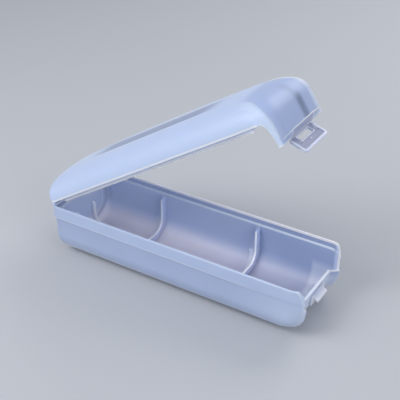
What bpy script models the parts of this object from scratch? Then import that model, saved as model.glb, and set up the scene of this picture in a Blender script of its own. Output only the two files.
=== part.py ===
"""Pocket battery box of clear polypropylene.

A long tray with three compartments carries a domed lid. The lid turns on a thin
hinge strap at the rear end and is held shut by a flexible tab at the front, whose
slot snaps over a nub on the tray. The lid is drawn open, as the box stands on a
table while it is being filled, and the tab springs a little away from the lid.

Axes: +X runs from the hinge end to the latch end, +Y across the box, +Z up.
The origin is the centre of the flat underside of the tray. All lengths are metres.
"""

import math

import bmesh
import bpy
from mathutils import Matrix, Vector

# Overall sizes of the closed box.
BOX_LENGTH = 0.1750
BOX_WIDTH = 0.0560
TRAY_HEIGHT = 0.0340
LID_HEIGHT = 0.0140

# Walls, and the clearances between pieces that touch or slide.
WALL = 0.0015
FLOOR_WALL = 0.0014
LID_WALL = 0.0014
SEAT_GAP = 0.0003
PARTING_GAP = 0.0004
CUT_OVERRUN = 0.0020

# Corners of the box, seen from above, and the rounded foot of the tray.
FRONT_CORNER_RADIUS = 0.0125
REAR_CORNER_RADIUS = 0.0026
FOOT_RADIUS = 0.0135
REAR_FOOT_REACH = 0.0060
FRONT_FOOT_RADIUS = 0.0205
FRONT_FOOT_REACH = 0.0140
SIDE_DRAFT = 0.0003
CORNER_GROWTH_SHARE = 0.25
CORNER_LIMIT_SHARE = 0.90
INNER_CORNER_SHARE = 0.80

# The proud band round the top of the tray and the rebate inside its rim.
BAND_HEIGHT = 0.0078
BAND_PROUD = 0.0006
BAND_SLOPE = 0.0005
REBATE_DEPTH = 0.0040
RIM_LIP = 0.0012

# The parting line drops in a convex sweep round the front corners.
SWEEP_REACH = 0.0040
FRONT_DROP = 0.0128
SWEEP_START_INSET = 0.0066

# The domed lid: a barrel crown, shoulders, rounded nose and the flat panel on top.
CROWN_HEIGHT = 0.0151
CROWN_FALL = 0.0009
CROWN_REACH = 0.0660
CROWN_INSET = 0.0920
SHOULDER_POWER = 2.7
SHOULDER_LIMIT_SHARE = 0.995
REAR_CROWN_HEIGHT = 0.01405
REAR_REACH = 0.0260
REAR_POWER = 5.0
NOSE_REACH = 0.0290
NOSE_POWER = 2.3
PANEL_REAR_INSET = 0.0260
PANEL_FRONT_INSET = 0.0175
PANEL_EDGE_DROP = 0.0004
PANEL_CORNER_RADIUS = 0.0040

# The lid's nose hangs over the low front wall and tucks into the latch recess.
NOSE_STRAIGHT = 0.0095
LIP_TUCK = 0.0053
LIP_DROP = 0.0152
LIP_EDGE_INSET = 0.0095
LIP_ARCH = 0.0008
TUCK_EDGE_INSET = 0.0045
TUCK_SLOPE = 0.0070

# The tongue below the lid's rim, which drops inside the tray's rim.
TONGUE_DROP = 0.0020
TONGUE_THICKNESS = 0.0010
TONGUE_ROOT = 0.0022
TONGUE_SIDE_CLEARANCE = 0.0003
TONGUE_REAR_INSET = 0.0110
TONGUE_FRONT_INSET = 0.0110

# Crescent dividers between the compartments.
REAR_COMPARTMENT = 0.0456
MIDDLE_COMPARTMENT = 0.0670
DIVIDER_THICKNESS = 0.0014
DIVIDER_HEIGHT = 0.0048
DIVIDER_TOP_DROP = 0.0008

# Short upright ribs on the rear wall, which centre a cell's end.
RIB_WIDTH = 0.0016
RIB_DEPTH = 0.0022
RIB_HEIGHT = 0.0166
RIB_SPACING = 0.0165

# The latch: full-height recess in the front wall, catch plate with its nub, and the tab.
RECESS_DEPTH = 0.0065
RECESS_EDGE_INSET = 0.0048
RECESS_SLOPE = 0.0060
CATCH_PLATE_WIDTH = 0.0170
CATCH_PLATE_THICKNESS = 0.0006
CATCH_PLATE_HEIGHT = 0.0062
NUB_WIDTH = 0.0122
NUB_HEIGHT = 0.0024
NUB_TIP_HEIGHT = 0.0010
NUB_REACH = 0.0014
TAB_WIDTH = 0.0260
TAB_LENGTH = 0.0112
TAB_THICKNESS = 0.0012
TAB_CORNER_RADIUS = 0.0022
TAB_BORDER = 0.0016
TAB_DISH = 0.0003
TAB_SETBACK = 0.0004
TAB_ROOT_GAP = 0.0002
SLOT_WIDTH = 0.0134
SLOT_NEAR = 0.0014
SLOT_FAR = 0.0050
SLOT_CORNER_RADIUS = 0.0008
TAB_FLARE = math.radians(38.0)

# The thin hinge strap behind the rear wall.
STRAP_WIDTH = 0.0504
STRAP_SETBACK = 0.0018
STRAP_RADIUS = 0.0004
TRAY_FLANGE_HEIGHT = 0.0070
LID_FLANGE_HEIGHT = 0.0030
FLANGE_SLOPE_SHARE = 0.30
LID_OPEN = math.radians(33.0)

# Smoothness of the curved forms, as counts.
CORNER_STEPS = 7
FOOT_STEPS = 8
UPPER_FOOT_STEPS = 3
CATCH_STEPS = 4
SHOULDER_STEPS = 9
SWEEP_STEPS = 10
ARC_STEPS = 5
SIDE_STEPS = 10
FRONT_STEPS = 18
STATION_STEPS = 36
SMOOTH_ANGLE = math.radians(32.0)

# Places that follow from the sizes above.
REAR_X = -BOX_LENGTH / 2
FRONT_X = BOX_LENGTH / 2
HALF_WIDTH = BOX_WIDTH / 2
RIM_Z = TRAY_HEIGHT
PART_Z = RIM_Z + PARTING_GAP / 2
FRONT_WALL_Z = RIM_Z - FRONT_DROP
SWEEP_X = FRONT_X - SWEEP_START_INSET
RECESS_X = FRONT_X - BAND_PROUD - RECESS_DEPTH
RECESS_HALF_WIDTH = HALF_WIDTH - RECESS_EDGE_INSET
RECESS_FLAT = RECESS_HALF_WIDTH - RECESS_SLOPE
LIP_HALF_WIDTH = HALF_WIDTH - LIP_EDGE_INSET
TUCK_HALF_WIDTH = HALF_WIDTH - TUCK_EDGE_INSET
TUCK_FLAT = TUCK_HALF_WIDTH - TUCK_SLOPE
CROWN_X = REAR_X + CROWN_INSET
INNER_HALF_WIDTH = HALF_WIDTH - BAND_PROUD - WALL
REBATE_HALF_WIDTH = HALF_WIDTH - RIM_LIP
HINGE_X = REAR_X - STRAP_SETBACK
HINGE_Z = PART_Z
TAB_X = RECESS_X + CATCH_PLATE_THICKNESS + TAB_SETBACK + TAB_THICKNESS / 2
TAB_FACE_X = TAB_X + TAB_THICKNESS / 2
TAB_Z = RIM_Z - LIP_DROP + LIP_ARCH - SEAT_GAP
NUB_Z = TAB_Z - (SLOT_NEAR + SLOT_FAR) / 2


def clear_scene():
    """Starts from an empty scene."""
    for thing in list(bpy.data.objects):
        bpy.data.objects.remove(thing, do_unlink=True)


def plastic(name, colour, roughness, alpha=1.0):
    """A moulded polypropylene finish."""
    material = bpy.data.materials.new(name)
    material.use_nodes = True
    shader = material.node_tree.nodes["Principled BSDF"]
    shader.inputs["Base Color"].default_value = (*colour, 1.0)
    shader.inputs["Roughness"].default_value = roughness
    shader.inputs["Metallic"].default_value = 0.0
    shader.inputs["Alpha"].default_value = alpha
    return material


def mesh_object(name, mesh_maker, material=None):
    """Makes an object from a bmesh and drops the working copy."""
    mesh = bpy.data.meshes.new(name)
    bmesh.ops.recalc_face_normals(mesh_maker, faces=mesh_maker.faces[:])
    mesh_maker.to_mesh(mesh)
    mesh_maker.free()
    thing = bpy.data.objects.new(name, mesh)
    bpy.context.scene.collection.objects.link(thing)
    if material is not None:
        mesh.materials.append(material)
    mesh.shade_smooth()
    mesh.set_sharp_from_angle(angle=SMOOTH_ANGLE)
    return thing


def outline(rear, front, half_width, rear_radius, front_radius, height, side_steps):
    """A rounded rectangle at one height, as points anticlockwise from above."""
    corners = (
        (front - front_radius, half_width - front_radius, front_radius, 0.0),
        (rear + rear_radius, half_width - rear_radius, rear_radius, 0.25),
        (rear + rear_radius, -half_width + rear_radius, rear_radius, 0.50),
        (front - front_radius, -half_width + front_radius, front_radius, 0.75),
    )
    arcs = []
    for centre_x, centre_y, radius, turn_share in corners:
        arc = []
        for step in range(CORNER_STEPS + 1):
            angle = math.tau * (turn_share + step / CORNER_STEPS / 4)
            x = centre_x + radius * math.cos(angle)
            y = centre_y + radius * math.sin(angle)
            arc.append(Vector((x, y, height)))
        arcs.append(arc)
    points = []
    edge_steps = (side_steps, 1, side_steps, FRONT_STEPS)
    for arc, following, steps in zip(arcs, arcs[1:] + arcs[:1], edge_steps):
        points.extend(arc)
        for step in range(1, steps):
            points.append(arc[-1].lerp(following[0], step / steps))
    return points


def falloff(y, flat, end):
    """1 near the middle of the box, falling smoothly to 0 between flat and end."""
    share = min(max((abs(y) - flat) / (end - flat), 0.0), 1.0)
    return (1 + math.cos(math.pi * share)) / 2


def loft(rings):
    """A closed solid through rings of equal count, capped at both ends."""
    body = bmesh.new()
    rows = [[body.verts.new(point) for point in ring] for ring in rings]
    count = len(rows[0])
    for lower, upper in zip(rows, rows[1:]):
        for index in range(count):
            after = (index + 1) % count
            body.faces.new((lower[index], lower[after], upper[after], upper[index]))
    body.faces.new(list(reversed(rows[0])))
    body.faces.new(rows[-1])
    return body


def prism(profile, low_y, high_y):
    """Extrudes an outline in the XZ plane across the box."""
    low_ring = [Vector((x, low_y, z)) for x, z in profile]
    high_ring = [Vector((x, high_y, z)) for x, z in profile]
    return loft([low_ring, high_ring])


def box(low, high):
    """A plain block between two corners."""
    profile = ((low[0], low[2]), (high[0], low[2]), (high[0], high[2]), (low[0], high[2]))
    return prism(profile, low[1], high[1])


def combine(target, tool, operation):
    """Cuts or joins with a second solid, then removes that solid."""
    modifier = target.modifiers.new(operation.lower(), "BOOLEAN")
    modifier.operation = operation
    modifier.solver = "EXACT"
    modifier.object = tool
    depsgraph = bpy.context.evaluated_depsgraph_get()
    result = bpy.data.meshes.new_from_object(target.evaluated_get(depsgraph))
    target.modifiers.clear()
    target.data = result
    bpy.data.objects.remove(tool, do_unlink=True)
    result.shade_smooth()
    result.set_sharp_from_angle(angle=SMOOTH_ANGLE)


def tray_ring(side_inset, rear_inset, front_inset, height, wall):
    """One outline of the tray, set back in the middle of its front end.

    The insets are drawn in from the proud band. wall is zero for the outside.
    """
    share = INNER_CORNER_SHARE if wall > 0.0 else 1.0
    growth = CORNER_GROWTH_SHARE * side_inset
    half_width = HALF_WIDTH - side_inset
    front_radius = FRONT_CORNER_RADIUS * share + growth
    ring = outline(
        REAR_X + rear_inset,
        FRONT_X - front_inset,
        half_width,
        REAR_CORNER_RADIUS * share + growth,
        min(front_radius, CORNER_LIMIT_SHARE * half_width),
        height,
        1,
    )
    for point in ring:
        if point.x > 0.0:
            reach = wall / 2
            setback = falloff(point.y, RECESS_FLAT + reach, RECESS_HALF_WIDTH + reach)
            point.x -= RECESS_DEPTH * setback
    return ring


def bend_share(height, radius):
    """How far a rounded foot has drawn in at a height above its floor, 0 to 1."""
    level = max(1 - height / radius, 0.0)
    return 1 - math.sqrt(1 - level ** 2)


def tray_rings(inset, wall, floor_height):
    """The rings from the floor over the rounded foot to the top of the plain wall."""
    radius = FOOT_RADIUS - floor_height
    front_radius = FRONT_FOOT_RADIUS - floor_height
    heights = []
    for step in range(FOOT_STEPS + 1):
        heights.append(radius * (1 - math.cos(math.pi / 2 * step / FOOT_STEPS)))
    for step in range(1, UPPER_FOOT_STEPS + 1):
        heights.append(radius + (front_radius - radius) * step / UPPER_FOOT_STEPS)
    rings = []
    for height in heights:
        bend = bend_share(height, radius)
        rings.append(tray_ring(
            inset + SIDE_DRAFT + radius * bend,
            inset + SIDE_DRAFT + (REAR_FOOT_REACH - floor_height) * bend,
            inset + (FRONT_FOOT_REACH - floor_height) * bend_share(height, front_radius),
            floor_height + height,
            wall,
        ))
    return rings


def tray_outside():
    """The outer form of the tray, run on above its rim."""
    band_z = RIM_Z - BAND_HEIGHT
    rings = tray_rings(BAND_PROUD, 0.0, 0.0)
    for inset, height in (
        (BAND_PROUD, band_z - BAND_SLOPE),
        (0.0, band_z),
        (0.0, RIM_Z + CUT_OVERRUN),
    ):
        rings.append(tray_ring(inset, inset, inset, height, 0.0))
    return mesh_object("tray_outside", loft(rings))


def tray_inside():
    """The hollow of the tray, with the rebate that takes the lid's tongue."""
    ledge_z = RIM_Z - REBATE_DEPTH
    wall_inset = BAND_PROUD + WALL
    rings = tray_rings(wall_inset, WALL, FLOOR_WALL)
    for inset, front_inset, height in (
        (wall_inset, wall_inset, ledge_z - BAND_SLOPE),
        (RIM_LIP, wall_inset, ledge_z),
        (RIM_LIP, wall_inset, RIM_Z + 2 * CUT_OVERRUN),
    ):
        rings.append(tray_ring(inset, inset, front_inset, height, WALL))
    return mesh_object("tray_inside", loft(rings))


def parting_profile(offset, far_z):
    """The side view of the parting line, closed off above or below the box.

    offset lifts the line, and far_z is the level of the side that closes it.
    """
    rim_z = RIM_Z + offset
    front_z = FRONT_WALL_Z + offset
    points = [(REAR_X - BOX_LENGTH, far_z), (REAR_X - BOX_LENGTH, rim_z)]
    for step in range(SWEEP_STEPS + 1):
        angle = math.pi / 2 * (1 - step / SWEEP_STEPS)
        x = SWEEP_X + offset + SWEEP_REACH * math.cos(angle)
        points.append((x, front_z + FRONT_DROP * math.sin(angle)))
    points.append((FRONT_X + BOX_LENGTH, front_z))
    points.append((FRONT_X + BOX_LENGTH, far_z))
    return points


def parting_cutter(name, offset, far_z, low_y, high_y):
    """A solid on one side of the parting line, which follows the latch recess."""
    profile = parting_profile(offset, far_z)
    rings = []
    for step in range(STATION_STEPS + 1):
        y = low_y + (high_y - low_y) * step / STATION_STEPS
        setback = RECESS_DEPTH * falloff(y, RECESS_FLAT, RECESS_HALF_WIDTH)
        rings.append([Vector((x - setback, y, z)) for x, z in profile])
    return mesh_object(name, loft(rings))


def make_tray(material):
    """The tray: rounded foot, proud band, rim rebate, low recessed front."""
    tray = tray_outside()
    combine(tray, tray_inside(), "DIFFERENCE")
    edge_y = HALF_WIDTH + CUT_OVERRUN
    above = parting_cutter("above_parting", 0.0, RIM_Z + BOX_WIDTH, -edge_y, edge_y)
    combine(tray, above, "DIFFERENCE")
    tray.name = "base_tray"
    tray.data.materials.append(material)
    return tray


def side_share(height, crown):
    """How far the lid reaches sideways at a height, for the crown's height there."""
    level = min(max(height, 0.0) / crown, SHOULDER_LIMIT_SHARE)
    return (1 - level ** SHOULDER_POWER) ** (1 / SHOULDER_POWER)


def barrel(ring, height):
    """Draws the sides of a lid outline in towards the ends, where the crown is lower."""
    widest = side_share(height, CROWN_HEIGHT)
    half_width = max(point.y for point in ring)
    for point in ring:
        crown = CROWN_HEIGHT - CROWN_FALL * ((point.x - CROWN_X) / CROWN_REACH) ** 2
        pull = HALF_WIDTH * (widest - side_share(height, crown))
        point.y -= point.y / half_width * pull
    return ring


def lid_ring(height, wall):
    """One outline of the lid at a height above the rim plane, set in by a wall."""
    level = max(height, 0.0)
    rear_share = (1 - (level / REAR_CROWN_HEIGHT) ** REAR_POWER) ** (1 / REAR_POWER)
    nose_share = (1 - (level / CROWN_HEIGHT) ** NOSE_POWER) ** (1 / NOSE_POWER)
    tuck_share = max(-height - NOSE_STRAIGHT, 0.0) / (LIP_DROP - NOSE_STRAIGHT)
    half_width = HALF_WIDTH * side_share(height, CROWN_HEIGHT)
    rear_growth = CORNER_GROWTH_SHARE * (HALF_WIDTH - half_width)
    ring = outline(
        REAR_X + REAR_REACH * (1 - rear_share) + wall,
        FRONT_X - NOSE_REACH * (1 - nose_share) - wall,
        half_width - wall,
        REAR_CORNER_RADIUS + rear_growth - wall,
        min(FRONT_CORNER_RADIUS, CORNER_LIMIT_SHARE * half_width) - wall,
        RIM_Z + height,
        SIDE_STEPS,
    )
    for point in ring:
        if point.x > 0.0:
            middle = falloff(point.y, TUCK_FLAT, TUCK_HALF_WIDTH)
            point.x -= LIP_TUCK * tuck_share ** 2 * middle
    return barrel(ring, height)


def panel_ring(height, wall):
    """The outline of the flat panel on top of the lid."""
    ring = outline(
        REAR_X + PANEL_REAR_INSET,
        FRONT_X - PANEL_FRONT_INSET,
        HALF_WIDTH * side_share(LID_HEIGHT, CROWN_HEIGHT) - wall,
        PANEL_CORNER_RADIUS - wall,
        PANEL_CORNER_RADIUS - wall,
        RIM_Z + height,
        SIDE_STEPS,
    )
    return barrel(ring, LID_HEIGHT)


def lid_form(name, wall, bottom_drop):
    """The domed outer form of the lid, or its hollow when a wall is given."""
    edge_height = LID_HEIGHT - PANEL_EDGE_DROP
    rings = [lid_ring(-bottom_drop, wall)]
    for step in range(ARC_STEPS):
        share = 1 - step / ARC_STEPS
        depth = NOSE_STRAIGHT + (LIP_DROP - NOSE_STRAIGHT) * share
        rings.append(lid_ring(-depth, wall))
    for step in range(SHOULDER_STEPS + 1):
        share = math.sin(math.pi / 2 * step / SHOULDER_STEPS)
        ring = lid_ring(edge_height * share, wall)
        for point in ring:
            point.z -= wall * share
        rings.append(ring)
    rings.append(panel_ring(LID_HEIGHT - wall, wall))
    return mesh_object(name, loft(rings))


def make_lid(material, parent):
    """The lid: a thin dome whose nose hangs down over the latch recess."""
    lid = lid_form("lid_outside", 0.0, LIP_DROP + CUT_OVERRUN)
    hollow = lid_form("lid_inside", LID_WALL, LIP_DROP + 2 * CUT_OVERRUN)
    combine(lid, hollow, "DIFFERENCE")
    low_z = RIM_Z - BOX_WIDTH
    edge_y = HALF_WIDTH + CUT_OVERRUN
    for name, low_y, high_y in (
        ("beside_lip_far", LIP_HALF_WIDTH, edge_y),
        ("beside_lip_near", -edge_y, -LIP_HALF_WIDTH),
    ):
        cutter = parting_cutter(name, PARTING_GAP, low_z, low_y, high_y)
        combine(lid, cutter, "DIFFERENCE")
    middle_low = (REAR_X - CUT_OVERRUN, -LIP_HALF_WIDTH - SEAT_GAP, low_z)
    middle_high = (RECESS_X, LIP_HALF_WIDTH + SEAT_GAP, RIM_Z + PARTING_GAP)
    combine(lid, mesh_object("below_middle", box(middle_low, middle_high)), "DIFFERENCE")
    lip_low = (RECESS_X - CUT_OVERRUN, -LIP_HALF_WIDTH - SEAT_GAP, low_z)
    lip_high = (FRONT_X + CUT_OVERRUN, LIP_HALF_WIDTH + SEAT_GAP, RIM_Z - LIP_DROP)
    combine(lid, mesh_object("below_lip", box(lip_low, lip_high)), "DIFFERENCE")
    arch_low = (RECESS_X - CUT_OVERRUN, -TAB_WIDTH / 2 - SEAT_GAP, low_z)
    arch_high = (FRONT_X + CUT_OVERRUN, TAB_WIDTH / 2 + SEAT_GAP, RIM_Z - LIP_DROP + LIP_ARCH)
    combine(lid, mesh_object("lip_arch", box(arch_low, arch_high)), "DIFFERENCE")
    lid.name = "lid_shell"
    lid.data.materials.append(material)
    hang_on(lid, parent)
    return lid


def make_tongue(name, side, material, parent):
    """A thin rail inside the lid's rim, which guides the lid into the rebate."""
    outer = REBATE_HALF_WIDTH - TONGUE_SIDE_CLEARANCE
    inner = outer - TONGUE_THICKNESS
    root_outer = HALF_WIDTH - LID_WALL - SEAT_GAP
    rear = REAR_X + TONGUE_REAR_INSET
    front = FRONT_X - TONGUE_FRONT_INSET
    low_z = RIM_Z - TONGUE_DROP
    mid_z = RIM_Z + PARTING_GAP
    top_z = RIM_Z + TONGUE_ROOT
    section = (
        (inner, low_z),
        (outer, low_z),
        (outer, mid_z),
        (root_outer, mid_z),
        (root_outer, top_z),
        (inner, top_z),
    )
    rear_ring = [Vector((rear, side * y, z)) for y, z in section]
    front_ring = [Vector((front, side * y, z)) for y, z in section]
    rail = mesh_object(name, loft([rear_ring, front_ring]), material)
    hang_on(rail, parent)
    return rail


def trough_section(rise, top_z, x):
    """The inner cross-section of the tray, drawn in by a rise, as an open path."""
    radius = FOOT_RADIUS - FLOOR_WALL - rise
    side = INNER_HALF_WIDTH - rise
    foot_y = side - SIDE_DRAFT - radius
    foot_z = FLOOR_WALL + rise + radius
    points = [Vector((x, side, top_z))]
    for step in range(FOOT_STEPS + 1):
        angle = math.pi / 2 * step / FOOT_STEPS
        y = foot_y + radius * math.cos(angle)
        z = foot_z - radius * math.sin(angle)
        points.append(Vector((x, y, z)))
    mirrored = [Vector((point.x, -point.y, point.z)) for point in reversed(points)]
    return points + mirrored


def make_divider(name, centre_x, material):
    """A low crescent rib that follows the walls and floor of the tray."""
    top_z = RIM_Z - REBATE_DEPTH - BAND_SLOPE - DIVIDER_TOP_DROP
    rings = []
    for x in (centre_x - DIVIDER_THICKNESS / 2, centre_x + DIVIDER_THICKNESS / 2):
        outside = trough_section(SEAT_GAP, top_z, x)
        inside = trough_section(DIVIDER_HEIGHT, top_z - DIVIDER_TOP_DROP, x)
        rings.append(outside + list(reversed(inside)))
    body = bmesh.new()
    rows = [[body.verts.new(point) for point in ring] for ring in rings]
    count = len(rows[0])
    half = count // 2
    for index in range(count):
        after = (index + 1) % count
        body.faces.new((rows[0][index], rows[0][after], rows[1][after], rows[1][index]))
    for index in range(half - 1):
        partner = count - 1 - index
        for row in rows:
            body.faces.new((row[index], row[index + 1], row[partner - 1], row[partner]))
    return mesh_object(name, body, material)


def make_rear_rib(name, side, material):
    """An upright rib on the inside of the rear wall, standing on the floor."""
    wall_x = REAR_X + BAND_PROUD + WALL + SIDE_DRAFT + SEAT_GAP
    reach = REAR_FOOT_REACH - FLOOR_WALL
    radius = FOOT_RADIUS - FLOOR_WALL
    foot_z = FOOT_RADIUS + SEAT_GAP
    top_z = FLOOR_WALL + RIB_HEIGHT
    outer = []
    inner = []
    for step in range(FOOT_STEPS + 1):
        angle = math.pi / 2 * step / FOOT_STEPS
        bend = 1 - math.cos(angle)
        drop = math.sin(angle)
        outer.append((wall_x + reach * bend, foot_z - radius * drop))
        x = wall_x + RIB_DEPTH + (reach - RIB_DEPTH / 2) * bend
        inner.append((x, foot_z - (radius - RIB_DEPTH) * drop))
    inner.reverse()
    profile = outer + inner
    profile.append((wall_x + RIB_DEPTH, top_z))
    profile.append((wall_x, top_z + RIB_DEPTH / 2))
    centre_y = side * RIB_SPACING / 2
    rib = prism(profile, centre_y - RIB_WIDTH / 2, centre_y + RIB_WIDTH / 2)
    return mesh_object(name, rib, material)


def make_catch(material):
    """The catch: a pad that follows the recess wall, with a wedge-shaped nub."""
    face_x = RECESS_X + CATCH_PLATE_THICKNESS
    tip_x = TAB_FACE_X + NUB_REACH
    nub_top = NUB_Z + NUB_HEIGHT / 2
    nub_low = NUB_Z - NUB_HEIGHT / 2
    pad_low = NUB_Z - CATCH_PLATE_HEIGHT / 2
    profile = []
    for step in range(CATCH_STEPS + 1):
        z = pad_low + CATCH_PLATE_HEIGHT * step / CATCH_STEPS
        bend = FRONT_FOOT_REACH * bend_share(z, FRONT_FOOT_RADIUS)
        profile.append((RECESS_X - bend + SEAT_GAP, z))
    profile.append((face_x, pad_low + CATCH_PLATE_HEIGHT))
    profile.append((face_x, pad_low))
    pad_half = CATCH_PLATE_WIDTH / 2
    catch = mesh_object("catch", prism(profile, -pad_half, pad_half))
    inside_x = face_x - CATCH_PLATE_THICKNESS / 4
    wedge = (
        (inside_x, nub_low),
        (tip_x, nub_low),
        (tip_x, nub_low + NUB_TIP_HEIGHT),
        (face_x, nub_top),
        (inside_x, nub_top),
    )
    nub = mesh_object("nub", prism(wedge, -NUB_WIDTH / 2, NUB_WIDTH / 2))
    combine(catch, nub, "UNION")
    catch.data.materials.append(material)
    return catch


def rounded_plate(name, low, high, radius, front_x, back_x):
    """An upright plate with rounded corners, facing along X."""
    rings = []
    for x in (back_x, front_x):
        ring = []
        corners = (
            (high[0] - radius, high[1] - radius, 0.0),
            (low[0] + radius, high[1] - radius, 0.25),
            (low[0] + radius, low[1] + radius, 0.50),
            (high[0] - radius, low[1] + radius, 0.75),
        )
        for centre_y, centre_z, turn_share in corners:
            for step in range(ARC_STEPS + 1):
                angle = math.tau * (turn_share + step / ARC_STEPS / 4)
                y = centre_y + radius * math.cos(angle)
                ring.append(Vector((x, y, centre_z + radius * math.sin(angle))))
        rings.append(ring)
    return mesh_object(name, loft(rings))


def make_tab(material, parent):
    """The latch tab: a slotted plate with a raised border, on a thin root."""
    half = TAB_WIDTH / 2
    top_z = TAB_Z - TAB_ROOT_GAP
    low_z = TAB_Z - TAB_LENGTH
    back_x = TAB_X - TAB_THICKNESS / 2
    front_x = TAB_FACE_X
    low = (-half, low_z)
    high = (half, top_z)
    tab = rounded_plate("latch_tab", low, high, TAB_CORNER_RADIUS, front_x, back_x)
    slot_half = SLOT_WIDTH / 2
    slot = rounded_plate(
        "tab_slot",
        (-slot_half, TAB_Z - SLOT_FAR),
        (slot_half, TAB_Z - SLOT_NEAR),
        SLOT_CORNER_RADIUS,
        front_x + CUT_OVERRUN,
        back_x - CUT_OVERRUN,
    )
    dish = rounded_plate(
        "tab_dish",
        (-half + TAB_BORDER, low_z + TAB_BORDER),
        (half - TAB_BORDER, TAB_Z - SLOT_FAR - TAB_BORDER / 2),
        TAB_CORNER_RADIUS - TAB_BORDER / 2,
        front_x + CUT_OVERRUN,
        front_x - TAB_DISH,
    )
    combine(tab, slot, "DIFFERENCE")
    combine(tab, dish, "DIFFERENCE")
    tab.data.materials.append(material)
    hang_on(tab, parent)
    return tab


def make_strap(material):
    """The hinge strap: a round bead of thin plastic, which bends along its middle."""
    low_ring = []
    high_ring = []
    for step in range(2 * ARC_STEPS):
        angle = math.pi * step / ARC_STEPS
        x = HINGE_X + STRAP_RADIUS * math.cos(angle)
        z = HINGE_Z + STRAP_RADIUS * math.sin(angle)
        low_ring.append(Vector((x, -STRAP_WIDTH / 2, z)))
        high_ring.append(Vector((x, STRAP_WIDTH / 2, z)))
    return mesh_object("hinge_strap", loft([low_ring, high_ring]), material)


def make_flange(name, direction, height, material, parent):
    """The flange along one rear edge, which carries the hinge strap.

    direction is -1 for the tray's flange, below the strap, and 1 for the lid's.
    """
    wall_x = REAR_X - SEAT_GAP
    edge_x = HINGE_X + STRAP_RADIUS + SEAT_GAP
    level = HINGE_Z + direction * PARTING_GAP
    tip = level + direction * height * (1 - FLANGE_SLOPE_SHARE)
    far = level + direction * height
    section = [(edge_x, level), (wall_x, level), (wall_x, far), (edge_x, tip)]
    flange = mesh_object(name, prism(section, -STRAP_WIDTH / 2, STRAP_WIDTH / 2), material)
    if parent is not None:
        hang_on(flange, parent)
    return flange


def hang_on(piece, pivot):
    """Parents a piece to a pivot while the box is still closed."""
    piece.parent = pivot
    piece.matrix_parent_inverse = Matrix.Translation(-pivot.location)


def make_pivot(name, x, z, parent=None):
    """An empty on a joint's axis."""
    pivot = bpy.data.objects.new(name, None)
    bpy.context.scene.collection.objects.link(pivot)
    pivot.location = (x, 0.0, z)
    if parent is not None:
        hang_on(pivot, parent)
    return pivot


def build():
    """Puts the box together closed, then opens the lid and springs the tab."""
    clear_scene()
    tray_plastic = plastic("tray_polypropylene", (0.45, 0.52, 0.70), 0.35, 0.75)
    rib_plastic = plastic("rib_polypropylene", (0.62, 0.66, 0.80), 0.35, 0.80)
    lid_plastic = plastic("lid_polypropylene", (0.58, 0.68, 0.92), 0.30, 0.75)
    latch_plastic = plastic("latch_polypropylene", (0.55, 0.58, 0.75), 0.30, 0.75)
    hinge_plastic = plastic("hinge_polypropylene", (0.70, 0.78, 0.95), 0.30, 0.80)

    lid_pivot = make_pivot("lid_pivot", HINGE_X, HINGE_Z)
    tab_pivot = make_pivot("tab_pivot", TAB_FACE_X, TAB_Z, lid_pivot)

    make_tray(tray_plastic)
    inner_rear = REAR_X + BAND_PROUD + WALL
    first_x = inner_rear + REAR_COMPARTMENT + DIVIDER_THICKNESS / 2
    second_x = first_x + MIDDLE_COMPARTMENT + DIVIDER_THICKNESS
    make_divider("divider_rear", first_x, rib_plastic)
    make_divider("divider_front", second_x, rib_plastic)
    make_rear_rib("rear_rib_near", -1, rib_plastic)
    make_rear_rib("rear_rib_far", 1, rib_plastic)
    make_catch(latch_plastic)
    make_flange("hinge_flange_tray", -1, TRAY_FLANGE_HEIGHT, hinge_plastic, None)
    make_strap(hinge_plastic)

    make_lid(lid_plastic, lid_pivot)
    make_tongue("lid_tongue_near", -1, lid_plastic, lid_pivot)
    make_tongue("lid_tongue_far", 1, lid_plastic, lid_pivot)
    make_flange("hinge_flange_lid", 1, LID_FLANGE_HEIGHT, hinge_plastic, lid_pivot)
    make_tab(latch_plastic, tab_pivot)

    lid_pivot.rotation_euler[1] = -LID_OPEN
    tab_pivot.rotation_euler[1] = -TAB_FLARE


build()
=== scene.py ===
import math
import bmesh
import bpy
from mathutils import Matrix, Vector


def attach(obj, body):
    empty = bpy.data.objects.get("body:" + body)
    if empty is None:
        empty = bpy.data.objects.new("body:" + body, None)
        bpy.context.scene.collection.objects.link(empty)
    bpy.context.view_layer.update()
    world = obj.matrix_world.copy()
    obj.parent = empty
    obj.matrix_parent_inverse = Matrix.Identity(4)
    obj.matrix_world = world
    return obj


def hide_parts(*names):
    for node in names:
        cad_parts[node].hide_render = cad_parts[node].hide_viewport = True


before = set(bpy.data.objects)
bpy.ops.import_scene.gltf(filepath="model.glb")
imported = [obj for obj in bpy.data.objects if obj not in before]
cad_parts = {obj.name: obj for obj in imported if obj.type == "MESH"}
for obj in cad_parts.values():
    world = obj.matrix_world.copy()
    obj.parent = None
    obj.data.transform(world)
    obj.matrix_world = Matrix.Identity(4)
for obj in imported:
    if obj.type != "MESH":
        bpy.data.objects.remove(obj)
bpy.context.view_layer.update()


# ----------------------------------------------------------------- the camera
# The box is seen from its near left side and from well above, with its latch
# end to the right, through a long lens.

CAMERA_PLACE = (0.2353, -0.3816, 0.3342)
CAMERA_TURN = (1.00892, -0.00154, 0.54864)
FILM_WIDTH = 36
LENS = 81.5035
NEAREST = 0.01

bpy.ops.object.camera_add(location=CAMERA_PLACE, rotation=CAMERA_TURN)
camera = bpy.context.object
camera.name = "camera"
camera.data.sensor_width = FILM_WIDTH
camera.data.lens = LENS
camera.data.clip_start = NEAREST
bpy.context.scene.camera = camera


# ------------------------------------------------------------------- the tray
# A long trough injection moulded from milky clear polypropylene, about 1.5 mm
# thick. It has a rounded foot, a proud band round its upper edge, a ledge that
# takes the lid's rails, and a low front end set back for the latch.

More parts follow.
